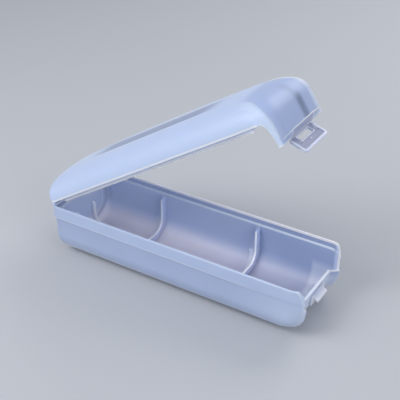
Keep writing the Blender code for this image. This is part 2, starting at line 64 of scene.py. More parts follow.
TRAY_REAR = -0.0875
TRAY_FRONT = 0.0875
TRAY_HALF_WIDTH = 0.028
RIM_HEIGHT = 0.034
FRONT_CORNER = 0.0125
REAR_CORNER = 0.0026
FRONT_CORNER_CUTS = 24
REAR_CORNER_CUTS = 8
INNER_CORNER_SHARE = 0.8
CORNER_GROWTH = 0.25
FOOT_RADIUS = 0.0135
REAR_FOOT_REACH = 0.006
FRONT_FOOT_RADIUS = 0.0205
FRONT_FOOT_REACH = 0.014
FOOT_RINGS = 12
UPPER_FOOT_RINGS = 3
DRAFT = 0.0003
BAND_BOTTOM = 0.0262
BAND_PROUD = 0.0006
BAND_SLOPE = 0.0005
TRAY_WALL = 0.0015
TRAY_FLOOR = 0.0014
LEDGE_HEIGHT = 0.030
RIM_INSET = 0.0012
ABOVE_RIM = 0.002
RECESS_DEPTH = 0.0065
RECESS_FLAT = 0.0172
RECESS_SLOPE = 0.0064
RECESS_TOP = 0.0212
RECESS_SIDE = 0.0174
CORNER_SIDE = 0.0226
SWEEP_START = 0.0799
SWEEP_REACH = 0.0035
SWEEP_LOW = 0.0194
SWEEP_DROP = 0.0146
SWEEP_VERTICES = 96
FAR_OUT = 0.2
REAR_DIVIDER_X = -0.0391
DIVIDER_SPACING = 0.0684
CUT_PAST = 0.0001
TINY = 1e-6
NEAR = 1e-5
SMOOTH_ANGLE = math.radians(35)
SHEEN = 0.5
CRISP = 0.0002
FADE_START, FADE_END = 0.045, 0.066
# Heights of the painted highlights low on the foot and along the rim, and their softness.
FOOT_HIGHLIGHT_LOW, FOOT_HIGHLIGHT_HIGH = 0.0016, 0.0040
RIM_HIGHLIGHT, HIGHLIGHT_SOFT = 0.0010, 0.0005
# The reach of the painted glow beside each rib and of the small bright dot at its edge, and the
# curve of the painted shade and highlight in the rear inner corners.
GLOW_HIGH, GLOW_FALL = 0.0079, 0.2
GLOW_LOW, GLOW_RISE = 0.0043, 0.165
PIP_LOW, PIP_HIGH = 0.0093, 0.0105
BEND_SIDE, BEND_Z, BEND_HEIGHT = 0.0254, 0.015, 0.0115
EDGE_BLEND_Y = 0.026


def start_shaping():
    """Opens the piece in hand for shaping."""
    bpy.ops.object.mode_set(mode="EDIT")


def end_shaping():
    """Ends the shaping of the piece in hand."""
    bpy.ops.object.mode_set(mode="OBJECT")


def named(name):
    """The newest piece, with its name, and its place and turn made part of its mesh."""
    piece = bpy.context.object
    piece.name = name
    bpy.ops.object.transform_apply(location=True, rotation=True, scale=True)
    return piece


def pick_all():
    """Selects all of the piece in hand."""
    bpy.ops.mesh.select_all(action="SELECT")


def face_outwards():
    """Turns all walls of the piece in hand outwards and ends its shaping."""
    pick_all()
    bpy.ops.mesh.normals_make_consistent(inside=False)
    end_shaping()


def draw_out(*reach):
    """Extrudes what is selected, as far as three numbers say."""
    bpy.ops.mesh.extrude_region_move(TRANSFORM_OT_translate={"value": reach})


def take(piece):
    """Makes one piece the only chosen one."""
    bpy.ops.object.select_all(action="DESELECT")
    bpy.context.view_layer.objects.active = piece
    piece.select_set(True)


def pick(test, kind="verts"):
    """Selects the corners, edges or faces of the piece in hand that pass a test."""
    bpy.ops.mesh.select_all(action="DESELECT")
    mesh = bmesh.from_edit_mesh(bpy.context.object.data)
    for element in getattr(mesh, kind):
        if not element.hide and test(element):
            element.select_set(True)
    mesh.select_flush_mode()
    bmesh.update_edit_mesh(bpy.context.object.data)


def start_piece(name):
    """A new piece with nothing in it yet, open for shaping."""
    bpy.ops.mesh.primitive_plane_add(size=1)
    piece = named(name)
    start_shaping()
    bpy.ops.mesh.select_mode(type="VERT")
    pick_all()
    bpy.ops.mesh.delete(type="VERT")
    return piece


def add_outline(rear, front, half_width, rear_corner, front_corner, height, setback, side_cuts=0):
    """Adds a rounded outline at one height, its front set back in the middle.

    setback is how far, over which half width, and over what length it eases off.
    """
    centre = ((rear + front) / 2, 0, height)
    bpy.ops.mesh.select_all(action="DESELECT")
    bpy.ops.mesh.primitive_plane_add(size=1, location=centre)
    size = (front - rear, 2 * half_width, 1)
    bpy.ops.transform.resize(value=size, center_override=centre)
    bpy.ops.mesh.delete(type="ONLY_FACE")
    loose = lambda vert: not vert.link_faces and abs(vert.co.z - height) < TINY
    pick(lambda vert: loose(vert) and vert.co.x > front - front_corner / 10)
    bpy.ops.mesh.bevel(offset=front_corner, segments=FRONT_CORNER_CUTS, affect="VERTICES")
    pick(lambda vert: loose(vert) and vert.co.x < rear + rear_corner / 10)
    bpy.ops.mesh.bevel(offset=rear_corner, segments=REAR_CORNER_CUTS, affect="VERTICES")
    if side_cuts:
        beside = lambda edge: abs(edge.verts[0].co.y - edge.verts[1].co.y) < TINY
        pick(lambda edge: all(loose(vert) for vert in edge.verts) and beside(edge), "edges")
        bpy.ops.mesh.subdivide(number_cuts=side_cuts)
    depth, flat, ease = setback
    if depth > 0:
        pick(lambda vert: loose(vert) and vert.co.x > centre[0] and abs(vert.co.y) <= flat)
        bpy.ops.transform.translate(
            value=(-depth, 0, 0),
            use_proportional_edit=True,
            use_proportional_connected=True,
            proportional_edit_falloff="SMOOTH",
            proportional_size=ease,
        )


def pick_open_edges(test=None):
    """Selects the edges that no wall closes yet."""
    pick(lambda edge: len(edge.link_faces) < 2 and (test is None or test(edge)), "edges")


def join_outline(number):
    """Joins the newest outline to the one before it, and puts the first one aside."""
    if number > 0:
        pick_open_edges()
        bpy.ops.mesh.bridge_edge_loops()
    if number == 1:
        mesh = bmesh.from_edit_mesh(bpy.context.object.data)
        mesh.verts.ensure_lookup_table()
        first = mesh.verts[0].co.z
        pick(lambda vert: abs(vert.co.z - first) < TINY)
        bpy.ops.mesh.hide(unselected=False)


def close_end(height):
    """Closes the open outline at a height with one flat face."""
    bpy.ops.mesh.reveal(select=False)
    pick_open_edges(lambda edge: all(abs(vert.co.z - height) < TINY for vert in edge.verts))
    bpy.ops.mesh.edge_face_add()


def weld():
    """Welds the outlines together, turns all walls outwards and ends the shaping."""
    bpy.ops.mesh.reveal(select=False)
    pick_all()
    bpy.ops.mesh.remove_doubles(threshold=2 * TINY)
    face_outwards()


def foot_outlines(wall, floor):
    """The outlines from the flat underside, or floor, round the foot and up the wall."""
    inset = BAND_PROUD + wall
    radius = FOOT_RADIUS - floor
    front_radius = FRONT_FOOT_RADIUS - floor
    corner_share = INNER_CORNER_SHARE if wall else 1
    levels = []
    for ring in range(FOOT_RINGS + 1):
        levels.append(radius * (1 - math.cos(math.pi / 2 * ring / FOOT_RINGS)))
    for ring in range(1, UPPER_FOOT_RINGS + 1):
        levels.append(radius + (front_radius - radius) * ring / UPPER_FOOT_RINGS)
    outlines = []
    for level in levels:
        bend = 1 - math.sqrt(1 - max(1 - level / radius, 0) ** 2)
        front_bend = 1 - math.sqrt(1 - max(1 - level / front_radius, 0) ** 2)
        side = inset + DRAFT + radius * bend
        outlines.append((
            TRAY_REAR + inset + DRAFT + (REAR_FOOT_REACH - floor) * bend,
            TRAY_FRONT - inset - (FRONT_FOOT_REACH - floor) * front_bend,
            TRAY_HALF_WIDTH - side,
            REAR_CORNER * corner_share + CORNER_GROWTH * side,
            min(FRONT_CORNER * corner_share + CORNER_GROWTH * side, 0.9 * (TRAY_HALF_WIDTH - side)),
            floor + level,
            (RECESS_DEPTH, RECESS_FLAT + wall / 2, RECESS_SLOPE),
        ))
    return outlines


def upper_outline(inset, front_inset, height, wall):
    """One outline of the band or the rim above the plain wall."""
    corner_share = INNER_CORNER_SHARE if wall else 1
    return (
        TRAY_REAR + inset,
        TRAY_FRONT - front_inset,
        TRAY_HALF_WIDTH - inset,
        REAR_CORNER * corner_share + CORNER_GROWTH * inset,
        FRONT_CORNER * corner_share + CORNER_GROWTH * inset,
        height,
        (RECESS_DEPTH, RECESS_FLAT + wall / 2, RECESS_SLOPE),
    )


def oval_quarter(name, centre, reach, drop, vertices, side):
    """A quarter of an upright oval line, open for shaping.

    Side 1 is the quarter above and ahead of the centre, side -1 the one opposite.
    """
    bpy.ops.mesh.primitive_circle_add(
        radius=1,
        vertices=vertices,
        location=centre,
        rotation=(math.pi / 2, 0, 0),
    )
    piece = named(name)
    start_shaping()
    pick_all()
    bpy.ops.transform.resize(value=(reach, 1, drop), center_override=centre)
    outside = lambda vert, axis: side * (centre[axis] - vert.co[axis]) > TINY
    pick(lambda vert: outside(vert, 0) or outside(vert, 2))
    bpy.ops.mesh.delete(type="VERT")
    return piece


def parting_block(name, lift, far_height, low_y, high_y):
    """A block over or under the line where lid and tray meet, to cut along it."""
    centre = (SWEEP_START + lift, low_y, SWEEP_LOW + lift)
    block = oval_quarter(name, centre, SWEEP_REACH, SWEEP_DROP, SWEEP_VERTICES, 1)
    pick(lambda vert: vert.co.z < centre[2] + TINY)
    draw_out(FAR_OUT, 0, 0)
    draw_out(0, 0, far_height - centre[2])
    pick(lambda vert: vert.co.x < centre[0] + TINY)
    draw_out(-FAR_OUT, 0, 0)
    draw_out(0, 0, far_height - centre[2] - SWEEP_DROP)
    pick_all()
    bpy.ops.mesh.edge_face_add()
    draw_out(0, high_y - low_y, 0)
    face_outwards()
    return block


def clearing_block(name, low, high):
    """A plain block between two corners, to cut with or to shape further."""
    centre = [(a + b) / 2 for a, b in zip(low, high)]
    size = [b - a for a, b in zip(low, high)]
    bpy.ops.mesh.primitive_cube_add(size=1, location=centre)
    bpy.ops.transform.resize(value=size, center_override=centre)
    return named(name)


def cut_away(piece, block, finish=None):
    """Cuts one solid out of another and clears the block away; the cut may get a finish."""
    if finish:
        finish.wear(block)
    take(piece)
    cut = piece.modifiers.new("cut", "BOOLEAN")
    cut.solver = "EXACT"
    cut.operation = "DIFFERENCE"
    cut.material_mode = "TRANSFER" if finish else "INDEX"
    cut.object = block
    bpy.ops.object.modifier_apply(modifier="cut")
    bpy.data.objects.remove(block, do_unlink=True)


def round_edges(piece, width, segments, angle):
    """Rounds the sharp edges of a piece a little and smooths the rest."""
    take(piece)
    rounding = piece.modifiers.new("rounding", "BEVEL")
    rounding.width = width
    rounding.segments = segments
    rounding.limit_method = "ANGLE"
    rounding.angle_limit = math.radians(angle)
    rounding.use_clamp_overlap = True
    bpy.ops.object.modifier_apply(modifier="rounding")
    bpy.ops.object.shade_smooth_by_angle(angle=SMOOTH_ANGLE)


class Link:
    """One output of a material's nodes, which sums can be written with."""

    def __init__(self, finish, socket):
        self.finish = finish
        self.socket = socket

    def sum(self, operation, first, second=0.0):
        return self.finish.node("Math", {"operation": operation}, {0: first, 1: second})

    def __add__(self, other):
        return self.sum("ADD", self, other)

    def __sub__(self, other):
        return self.sum("SUBTRACT", self, other)

    def __rsub__(self, other):
        return self.sum("SUBTRACT", other, self)

    def __mul__(self, other):
        return self.sum("MULTIPLY", self, other)

    def __truediv__(self, other):
        return self.sum("DIVIDE", self, other)

    def __abs__(self):
        return self.sum("ABSOLUTE", self)

    def or_more(self, other):
        return self.sum("MAXIMUM", self, other)

    def or_less(self, other):
        return self.sum("MINIMUM", self, other)

    def root(self):
        return self.sum("SQRT", self)

    def covered(self, share, red, green, blue):
        """This colour, with another over a share of it."""
        return self.finish.blend(share, self, shade(red, green, blue))

    __radd__ = __add__
    __rmul__ = __mul__


class Finish:
    """A material for one kind of surface, with its shader and the nodes before it."""

    def __init__(self, name, **constants):
        self.material = bpy.data.materials.new(name)
        self.material.use_nodes = True
        self.tree = self.material.node_tree
        self.tree.nodes.clear()
        output = self.tree.nodes.new("ShaderNodeOutputMaterial")
        self.shader = self.tree.nodes.new("ShaderNodeBsdfPrincipled")
        self.tree.links.new(self.shader.outputs[0], output.inputs["Surface"])
        self.put(self.shader, {name.replace("_", " "): value for name, value in constants.items()})

    def put(self, node, sockets):
        for name, value in sockets.items():
            if isinstance(value, Link):
                self.tree.links.new(value.socket, node.inputs[name])
            else:
                node.inputs[name].default_value = value

    def node(self, kind, settings, sockets, output=0):
        made = self.tree.nodes.new("ShaderNode" + kind)
        for name, value in settings.items():
            setattr(made, name, value)
        self.put(made, sockets)
        return Link(self, made.outputs[output])

    def place(self, turn=0.0, shift=(0.0, 0.0, 0.0)):
        """The place on the piece, turned and shifted, as a vector and three numbers."""
        here = self.node("TexCoord", {}, {}, "Object")
        turned = {"Vector": here, "Rotation": (0, turn, 0), "Location": shift}
        here = self.node("Mapping", {"vector_type": "POINT"}, turned)
        return here, *(self.node("SeparateXYZ", {}, {0: here}, axis) for axis in "XYZ")

    def rise(self, value, start, end):
        """0 below the start and 1 above the end, with a soft rise between them."""
        limits = {"Value": value, "From Min": start, "From Max": end}
        return self.node("MapRange", {"interpolation_type": "SMOOTHSTEP"}, limits)

    def fall(self, value, start, end):
        """1 below the start and 0 above the end, with a soft fall between them."""
        return 1 - self.rise(value, start, end)

    def strip(self, value, low, high, soft):
        """1 between two levels and 0 outside them, with soft edges."""
        above = self.rise(value, low - soft, low + soft)
        return above * self.fall(value, high - soft, high + soft)

    def blend(self, share, first, second):
        return self.node("Mix", {"data_type": "RGBA"}, {0: share, 6: first, 7: second}, 2)

    def clouds(self, here, size, detail=3.0):
        """Uneven patches of a size in metres, around one half."""
        grain = {"Vector": here, "Scale": 1 / size, "Detail": detail}
        return self.node("TexNoise", {}, grain)

    def wear(self, piece):
        """Puts the material on a piece, in place of what it had."""
        piece.data.materials.clear()
        piece.data.materials.append(self.material)

    def wear_where(self, piece, test):
        """Puts the material on those faces of a piece that pass a test."""
        piece.data.materials.append(self.material)
        take(piece)
        start_shaping()
        bpy.ops.mesh.select_mode(type="FACE")
        pick(test, "faces")
        piece.active_material_index = len(piece.data.materials) - 1
        bpy.ops.object.material_slot_assign()
        bpy.ops.mesh.select_mode(type="VERT")
        end_shaping()


def shade(red, green, blue):
    """A colour from its screen values, which are 11 to 255 here."""
    return (*(((part / 255 + 0.055) / 1.055) ** 2.4 for part in (red, green, blue)), 1.0)


def moulded(name, colour_of, turn=0.0, shift=(0.0, 0.0, 0.0), clear=0.35, rough=0.36):
    """Milky polypropylene: soft inside, a waxy gloss, flow clouds and a fine grain."""
    finish = Finish(
        name,
        IOR=1.49,
        Transmission_Weight=clear,
        Subsurface_Weight=0.15,
        Subsurface_Radius=(0.6, 0.8, 1.0),
        Subsurface_Scale=0.002,
        Sheen_Weight=SHEEN,
        Sheen_Roughness=0.25,
        Sheen_Tint=(0.93, 0.97, 1.0, 1.0),
    )
    here, x, y, z = finish.place(turn, shift)
    colour = colour_of(finish, x, y, z)
    flow = finish.clouds(here, 0.035)
    lift = finish.rise(flow, 0.35, 0.75)
    colour = colour.covered(lift * 0.10, 225, 235, 255)
    fine = finish.clouds(here, 0.0012, 4.0)
    waves = finish.clouds(here, 0.012, 2.0)
    height = waves * 0.7 + fine * 0.3
    bump = finish.node("Bump", {}, {"Strength": 0.12, "Distance": 0.0004, "Height": height})
    finish.put(finish.shader, {
        "Base Color": colour,
        "Roughness": rough + flow * 0.12 + fine * 0.06,
        "Normal": bump,
    })
    return finish


def parting_share(finish, x, z, lift):
    """How far a point of the front lies out from the swept parting line, which is at 1."""
    forward = (x - SWEEP_START - lift) / SWEEP_REACH
    upward = (z - SWEEP_LOW - lift) / SWEEP_DROP
    ahead = finish.rise(forward, -0.02, 0.0) * finish.rise(upward, -0.02, 0.0)
    return (forward * forward + upward * upward).root() * ahead


tray = start_piece("tray")
wall_inset = BAND_PROUD + TRAY_WALL
outlines = foot_outlines(0, 0)
outlines += [
    upper_outline(BAND_PROUD, BAND_PROUD, BAND_BOTTOM - BAND_SLOPE, 0),
    upper_outline(0, 0, BAND_BOTTOM, 0),
    upper_outline(0, 0, RIM_HEIGHT + ABOVE_RIM, 0),
    upper_outline(RIM_INSET, wall_inset, RIM_HEIGHT + 1.5 * ABOVE_RIM, TRAY_WALL),
    upper_outline(RIM_INSET, wall_inset, LEDGE_HEIGHT, TRAY_WALL),
    upper_outline(wall_inset, wall_inset, LEDGE_HEIGHT - BAND_SLOPE, TRAY_WALL),
]
outlines += reversed(foot_outlines(TRAY_WALL, TRAY_FLOOR))
for number, sizes in enumerate(outlines):
    add_outline(*sizes)
    join_outline(number)
close_end(0)
close_end(TRAY_FLOOR)
weld()


def tray_colour(finish, x, y, z):
    """The tray from outside: paler towards the front and round the recess, a paler band above a
    painted highlight along the step, which fade at the front, and painted highlights low on the
    foot, along the rim and on the cut by the parting line.
    """
    side = finish.blend(finish.rise(z, 0.002, 0.022), shade(190, 206, 235), shade(184, 198, 228))
    side = side.covered(finish.rise(x, 0.030, 0.085) * 0.8, 212, 226, 249)
    fading = finish.fall(x, FADE_START, FADE_END)
    band = finish.strip(z, BAND_BOTTOM, RIM_HEIGHT + ABOVE_RIM, CRISP)
    side = side.covered(band * (fading * 0.7 + 0.3), 196, 212, 241)
    # A painted highlight along the step under the band.
    step = finish.strip(z, BAND_BOTTOM - 0.0006, BAND_BOTTOM + 0.0005, CRISP)
    side = side.covered(step * fading * 0.85, 232, 242, 255)
    # A painted highlight low on the foot, where its curve turns out of view.
    foot = finish.strip(z, FOOT_HIGHLIGHT_LOW, FOOT_HIGHLIGHT_HIGH, HIGHLIGHT_SOFT)
    side = side.covered(foot * 0.9, 246, 250, 255)
    # A painted highlight along the rim.
    rim = finish.rise(z, RIM_HEIGHT - RIM_HIGHLIGHT, RIM_HEIGHT - HIGHLIGHT_SOFT)
    side = side.covered(rim, 210, 224, 250)
    recess = finish.rise(x, 0.0765, 0.0790) * finish.fall(abs(y), 0.0238, 0.0246)
    side = side.covered(recess * 0.8, 222, 230, 252)
    # A painted highlight on the cut along the parting line.
    swept = finish.rise(parting_share(finish, x, z, 0), 0.90, 0.95)
    return side.covered(swept, 238, 246, 255)


def hollow_colour(finish, x, y, z):
    """The tray from inside: walls and floor painted darker towards the front as shade, a paler
    floor, a painted glow beside the ribs, painted shade in the rear corners, and painted highlights
    along the ledge, the rim and the cut edges.
    """
    # Walls and floor painted darker towards the front, as the lid's shade.
    along = finish.rise(x, -0.075, 0.075)
    wall = finish.blend(along, shade(204, 217, 245), shade(164, 181, 216))
    floor = finish.blend(along, shade(255, 246, 255), shade(192, 196, 222))
    wall = finish.blend(finish.fall(z, 0.0020, 0.0125), wall, floor)
    # A painted glow on the wall behind each rib, with a small bright dot at its edge.
    reach = (GLOW_HIGH - z * GLOW_FALL).or_less(z * GLOW_RISE + GLOW_LOW)
    low = finish.fall(z, 0.009, 0.013)
    for rib in (REAR_DIVIDER_X, REAR_DIVIDER_X + DIVIDER_SPACING):
        behind = x - rib + reach
        glow = finish.rise(behind, -0.0003, 0.0005) * finish.fall(x, rib, rib + 0.0003)
        wall = wall.covered(glow * (low * 0.5 + 0.25), 240, 244, 255)
        pip = finish.strip(z, PIP_LOW, PIP_HIGH, CRISP)
        pip = pip * finish.fall(abs(behind), 0.0004, 0.0008)
        wall = wall.covered(pip * 0.8, 250, 252, 255)
    front = finish.rise(x, 0.0640, 0.0665) * finish.fall(z, 0.014, 0.020)
    wall = wall.covered(front * 0.5, 240, 244, 255)
    # Painted shade in the rear inner corners, with a painted highlight along it.
    sideways = abs(y) / BEND_SIDE
    downward = ((BEND_Z - z) / BEND_HEIGHT).or_more(0.0)
    curve = (sideways * sideways + downward * downward).root()
    rear = finish.fall(x, -0.0825, -0.0810)
    shadow = finish.strip(curve, 0.86, 1.00, 0.09) * rear
    wall = wall.covered(shadow * 0.45, 112, 124, 160)
    gleam = finish.strip(curve, 0.755, 0.785, 0.015) * rear
    wall = wall.covered(gleam * 0.6, 240, 246, 255)
    # A painted highlight along the ledge, and a darker strip above it.
    ledge = finish.strip(z, LEDGE_HEIGHT - 0.0010, LEDGE_HEIGHT + 0.0001, CRISP)
    ledge = ledge * finish.fall(x, 0.0775, 0.0795)
    wall = wall.covered(ledge, 234, 244, 255)
    above = finish.strip(z, LEDGE_HEIGHT + 0.0003, RIM_HEIGHT - 0.0014, CRISP)
    wall = wall.covered(above * 0.7, 160, 174, 210)
    corner = finish.rise(x, 0.0785, 0.0803) * finish.rise(abs(y), CORNER_SIDE - 0.0010, CORNER_SIDE)
    wall = wall.covered(corner * 0.85, 216, 226, 252)
    # Painted highlights along the rim and on the cut by the parting line.
    rim = finish.rise(z, RIM_HEIGHT - 0.0014, RIM_HEIGHT - 0.0010)
    wall = wall.covered(rim, 252, 250, 255)
    swept = finish.rise(parting_share(finish, x, z, 0), 0.84, 0.90)
    return wall.covered(swept, 238, 246, 255)


def edge_colour(finish, x, y, z):
    """The cut edges, which gather the light that runs inside the walls."""
    across = finish.rise(y, -EDGE_BLEND_Y, EDGE_BLEND_Y)
    lower = finish.blend(across, shade(226, 236, 255), shade(250, 250, 255))
    upper = finish.blend(across, shade(206, 222, 249), shade(255, 253, 255))
    return finish.blend(finish.rise(z, 0.020, RIM_HEIGHT), lower, upper)


BRIGHT_EDGE = moulded("milky_edge", edge_colour)
moulded("milky_tray", tray_colour).wear(tray)
outer_y = TRAY_HALF_WIDTH + RECESS_SLOPE
cuts = [
    parting_block("above_far_side", 0, RIM_HEIGHT + FAR_OUT, CORNER_SIDE, outer_y),
    parting_block("above_near_side", 0, RIM_HEIGHT + FAR_OUT, -outer_y, -CORNER_SIDE),
]
corner_y = CORNER_SIDE + CUT_PAST
over = RIM_HEIGHT + 2 * ABOVE_RIM
front = SWEEP_START - RECESS_DEPTH
cuts += [
    clearing_block(
        "above_middle",
        (-FAR_OUT, -corner_y, RIM_HEIGHT),
        (front + CUT_PAST, corner_y, over),
    ),
    clearing_block("above_recess", (front, -corner_y, RECESS_TOP), (FAR_OUT, corner_y, over)),
    clearing_block("far_of_recess", (front, RECESS_SIDE, SWEEP_LOW), (FAR_OUT, corner_y, over)),
    clearing_block("near_of_recess", (front, -corner_y, SWEEP_LOW), (FAR_OUT, -RECESS_SIDE, over)),
]
for block in cuts:
    cut_away(tray, block, BRIGHT_EDGE)
inner_side = TRAY_HALF_WIDTH - RIM_INSET + CUT_PAST


def faces_the_hollow(face):
    """Whether a face of the tray looks into its hollow."""
    if face.material_index == 1:
        return False
    centre = face.calc_center_median()
    towards = centre.x * face.normal.x / 9 + centre.y * face.normal.y
    up = face.normal.z > 0.05 and centre.z > TRAY_FLOOR / 2
    inwards = towards < 0 and abs(centre.y) < inner_side
    return centre.z < RIM_HEIGHT - BAND_SLOPE / 10 and (up or inwards)


moulded("milky_hollow", hollow_colour).wear_where(tray, faces_the_hollow)
bpy.ops.object.shade_smooth_by_angle(angle=SMOOTH_ANGLE)
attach(tray, "tray")
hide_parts("base_tray")


# -------------------------------------------------------------------- the lid
# A thin dome of the same plastic in one moulding, about 1.4 mm thick, with a
# flat top panel. Its nose hangs down as a lip over the recess in the tray. It
# stands open, turned up about the strap at the rear end.

LID_WALL = 0.0014
LID_HEIGHT = 0.014
PANEL_EDGE = 0.0136
CROWN_HEIGHT = 0.0151
CROWN_FALL = 0.0009
CROWN_REACH = 0.066
CROWN_MIDDLE = 0.0045
SHOULDER_POWER = 2.7
REAR_CROWN = 0.01405
REAR_REACH = 0.026
REAR_POWER = 5
NOSE_REACH = 0.029
NOSE_POWER = 2.3
NOSE_STRAIGHT = 0.0095
LIP_DROP = 0.0152
LIP_TUCK = 0.0053
LIP_HALF_WIDTH = 0.0185
LIP_RINGS = 7
SHOULDER_RINGS = 16
TUCK_FLAT = 0.0165
TUCK_SLOPE = 0.0074
PANEL_REAR = -0.0615
PANEL_FRONT = 0.070
PANEL_CORNER = 0.004
PARTING_GAP = 0.0004
SEAT_GAP = 0.0003
ARCH_RISE = 0.0008
TAB_HALF_WIDTH = 0.013
HINGE_X = -0.0893
HINGE_Z = 0.0342
OPEN_ANGLE = math.radians(33)
SIDE_CUTS = 15
DIMPLE_X = 0.0770
DIMPLE_Y = 0.0270
DIMPLE_HEIGHT = 0.0040
DIMPLE_CORE = 0.0030
DIMPLE_DEPTH = 0.0009
DIMPLE_REACH = 0.0110
CREASE_X = 0.0686
CREASE_REACH = 0.0168
CREASE_LOW = -0.0020
CREASE_RISE = 0.0146
CREASE_END = -0.0124
CREASE_RADIUS = 0.00055
CREASE_PROUD = 0.0002
CREASE_STEPS = 26
CREASE_LEAD = 4
CREASE_TAIL = 12
FOLD_MIDDLE = -0.0103
FOLD_END = -0.0115
FOLD_END_Y = 0.0226
FOLD_RADIUS = 0.0005
FOLD_STEPS = 20
PAST_SIDE = 0.032
PAST_REAR = -0.1
PAST_FRONT = 0.1
PAST_LOW = -0.05
ARCH_REAR = 0.07
# Where the painted highlight round the panel lies, and the top of the painted shade on the nose.
PANEL_HIGHLIGHT_LOW, PANEL_HIGHLIGHT_HIGH = 0.0092, 0.0104
NOSE_SHADE_TOP = 0.0030


def side_share(height, crown):
    """How far the lid reaches sideways at a height, for the crown's height there."""
    level = min(max(height, 0) / crown, 0.9999)
    return (1 - level ** SHOULDER_POWER) ** (1 / SHOULDER_POWER)


def draw_sides_in(height):
    """Draws the newest outline in towards the ends, where the crown is lower."""
    mesh = bmesh.from_edit_mesh(bpy.context.object.data)
    loose = lambda vert: not vert.link_faces and abs(vert.co.z - RIM_HEIGHT - height) < TINY
    stations = {round(vert.co.x, 6) for vert in mesh.verts if loose(vert)}
    for station in sorted(stations):
        crown = CROWN_HEIGHT - CROWN_FALL * ((station - CROWN_MIDDLE) / CROWN_REACH) ** 2
        share = side_share(height, crown) / side_share(height, CROWN_HEIGHT)
        if share < 0.9999:
            pick(lambda vert: loose(vert) and round(vert.co.x, 6) == station)
            bpy.ops.transform.resize(value=(1, share, 1), center_override=(0, 0, 0))


def lid_outline(height):
    """The lid's outline at a height above the rim, or below it for the lip."""
    level = max(height, 0)
    rear = (1 - (level / REAR_CROWN) ** REAR_POWER) ** (1 / REAR_POWER)
    nose = (1 - (level / CROWN_HEIGHT) ** NOSE_POWER) ** (1 / NOSE_POWER)
    tuck = max(-height - NOSE_STRAIGHT, 0) / (LIP_DROP - NOSE_STRAIGHT)
    half_width = TRAY_HALF_WIDTH * side_share(height, CROWN_HEIGHT)
    return (
        TRAY_REAR + REAR_REACH * (1 - rear),
        TRAY_FRONT - NOSE_REACH * (1 - nose),
        half_width,
        REAR_CORNER + CORNER_GROWTH * (TRAY_HALF_WIDTH - half_width),
        min(FRONT_CORNER, 0.9 * half_width),
        RIM_HEIGHT + height,
        (LIP_TUCK * tuck ** 2, TUCK_FLAT, TUCK_SLOPE),
    )


def turn_up(piece, angle, axis):
    """Turns a piece up about a line across the box."""
    take(piece)
    start_shaping()
    pick_all()
    bpy.ops.transform.rotate(value=angle, orient_axis="Y", center_override=axis)
    end_shaping()


def open_up(piece):
    """Turns a piece of the lid up about the strap, as far as it stands open."""
    turn_up(piece, OPEN_ANGLE, (HINGE_X, 0, HINGE_Z))


lid = start_piece("lid")
heights = []
for ring in range(LIP_RINGS + 1):
    heights.append(-LIP_DROP + (LIP_DROP - NOSE_STRAIGHT) * ring / LIP_RINGS)
for ring in range(SHOULDER_RINGS + 1):
    heights.append(PANEL_EDGE * math.sin(math.pi / 2 * ring / SHOULDER_RINGS))
for number, height in enumerate(heights):
    add_outline(*lid_outline(height), SIDE_CUTS)
    draw_sides_in(height)
    join_outline(number)
panel_half_width = TRAY_HALF_WIDTH * side_share(LID_HEIGHT, CROWN_HEIGHT)
panel_height = RIM_HEIGHT + LID_HEIGHT
panel_size = (PANEL_REAR, PANEL_FRONT, panel_half_width, PANEL_CORNER, PANEL_CORNER, panel_height)
add_outline(*panel_size, (0, 0, 0), SIDE_CUTS)
draw_sides_in(LID_HEIGHT)
join_outline(len(heights))
close_end(panel_height)
weld()
start_shaping()
for side in (-1, 1):
    dimple = Vector((DIMPLE_X, side * DIMPLE_Y, RIM_HEIGHT + DIMPLE_HEIGHT))
    pick(lambda vert: (vert.co - dimple).length < DIMPLE_CORE)
    bpy.ops.transform.translate(
        value=(0, -side * DIMPLE_DEPTH, 0),
        use_proportional_edit=True,
        proportional_edit_falloff="SMOOTH",
        proportional_size=DIMPLE_REACH,
    )
end_shaping()
take(lid)
shell = lid.modifiers.new("wall", "SOLIDIFY")
shell.thickness = LID_WALL
shell.offset = -1
shell.use_even_offset = True
bpy.ops.object.modifier_apply(modifier="wall")


